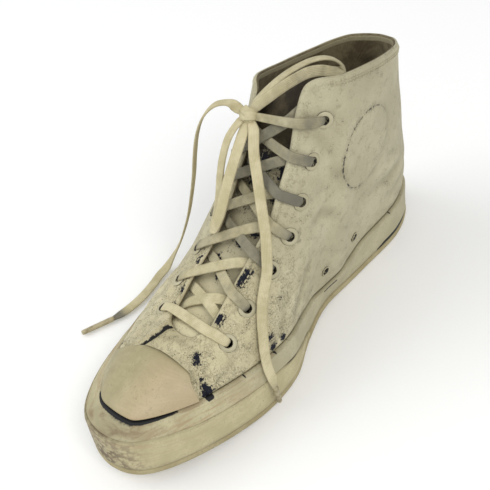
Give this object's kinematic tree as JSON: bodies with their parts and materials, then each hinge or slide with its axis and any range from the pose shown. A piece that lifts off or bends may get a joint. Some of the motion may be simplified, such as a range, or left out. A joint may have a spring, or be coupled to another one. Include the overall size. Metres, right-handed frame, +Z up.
{
  "type": "worn high-top sneaker",
  "caption": "Worn canvas high-top sneaker for the right foot with cracked cream paint over navy cloth, rubber toe cap and foxing, and loosely tied flat laces.",
  "frame": {"origin": "on the floor under the middle of the sole's length and width", "axes": "+X towards the toe, +Y towards the inner side of the foot, +Z up from the floor"},
  "size_m": [0.272, 0.1317, 0.1574],
  "materials": {
    "painted_canvas": "canvas under cracked cream paint",
    "sole_rubber": "aged yellowed rubber",
    "cap_rubber": "scuffed smooth rubber",
    "insole_cloth": "flattened worn cloth",
    "eyelet_metal": "painted over",
    "lace_cotton": "soiled flat cotton",
    "aglet_plastic": "dulled"
  },
  "bodies": {
    "root": {"outsole": "sole_rubber", "insole": "insole_cloth", "upper": "painted_canvas", "tongue": "painted_canvas", "foxing": "sole_rubber", "toe_bumper": "sole_rubber", "toe_cap": "cap_rubber", "eyelet_medial_1": "eyelet_metal", "eyelet_lateral_1": "eyelet_metal", "eyelet_medial_2": "eyelet_metal", "eyelet_lateral_2": "eyelet_metal", "eyelet_medial_3": "eyelet_metal", "eyelet_lateral_3": "eyelet_metal", "eyelet_medial_4": "eyelet_metal", "eyelet_lateral_4": "eyelet_metal", "eyelet_medial_5": "eyelet_metal", "eyelet_lateral_5": "eyelet_metal", "eyelet_medial_6": "eyelet_metal", "eyelet_lateral_6": "eyelet_metal", "eyelet_medial_7": "eyelet_metal", "eyelet_lateral_7": "eyelet_metal", "vent_eyelet_1": "eyelet_metal", "vent_eyelet_2": "eyelet_metal", "lace_bar": "lace_cotton", "lace_crossing_1": "lace_cotton", "lace_crossing_2": "lace_cotton", "lace_crossing_3": "lace_cotton", "lace_crossing_4": "lace_cotton", "lace_crossing_5": "lace_cotton", "lace_crossing_6": "lace_cotton", "lace_knot": "lace_cotton", "lace_loop": "lace_cotton", "lace_loop_upper": "lace_cotton", "lace_end_lateral": "lace_cotton", "lace_end_medial": "lace_cotton", "aglet_lateral": "aglet_plastic", "aglet_medial": "aglet_plastic"}
  },
  "joints": []
}
